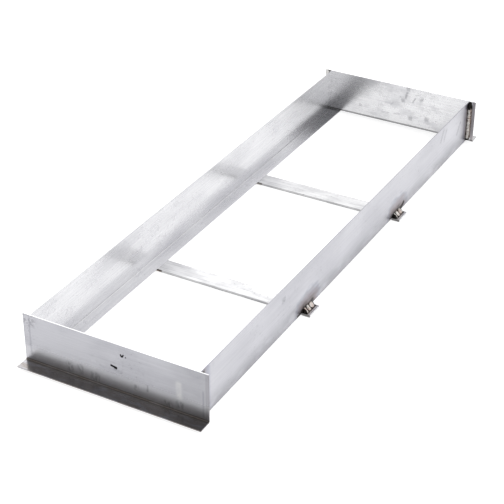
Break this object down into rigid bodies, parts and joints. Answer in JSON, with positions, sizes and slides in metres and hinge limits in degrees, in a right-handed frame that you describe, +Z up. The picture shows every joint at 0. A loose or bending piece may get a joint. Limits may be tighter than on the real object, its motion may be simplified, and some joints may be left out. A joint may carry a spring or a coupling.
{
  "type": "sluice box frame",
  "caption": "Open welded sheet-metal tray frame for a sluice box: bent side walls and end plates over flat cross straps, with no floor.",
  "frame": {"origin": "centre of the frame, on the surface that the cross straps rest on", "axes": "+X across the frame to its right side, +Y along it to the rear, +Z up, out of its open top"},
  "size_m": [0.38, 1.256, 0.105],
  "materials": {
    "sheet_steel": "mill-finish stainless sheet, satin, with scuffs and heat tint by the welds",
    "strap_steel": "flat bar with fine scratches along its length",
    "weld_metal": "rippled weld bead, heat-tinted straw to grey, with black oxide at its edges"
  },
  "bodies": {
    "root": {"left_side_wall": "sheet_steel", "right_side_wall": "sheet_steel", "front_end_plate": "sheet_steel", "rear_end_plate": "sheet_steel", "front_cross_strap": "strap_steel", "rear_cross_strap": "strap_steel", "front_left_corner_weld": "weld_metal", "front_right_corner_weld": "weld_metal", "rear_left_corner_weld": "weld_metal", "rear_right_corner_weld": "weld_metal", "front_strap_left_weld": "weld_metal", "front_strap_right_weld": "weld_metal", "rear_strap_left_weld": "weld_metal", "rear_strap_right_weld": "weld_metal", "front_strap_left_tack": "weld_metal", "front_strap_right_tack": "weld_metal", "rear_strap_left_tack": "weld_metal", "rear_strap_right_tack": "weld_metal"}
  },
  "joints": []
}
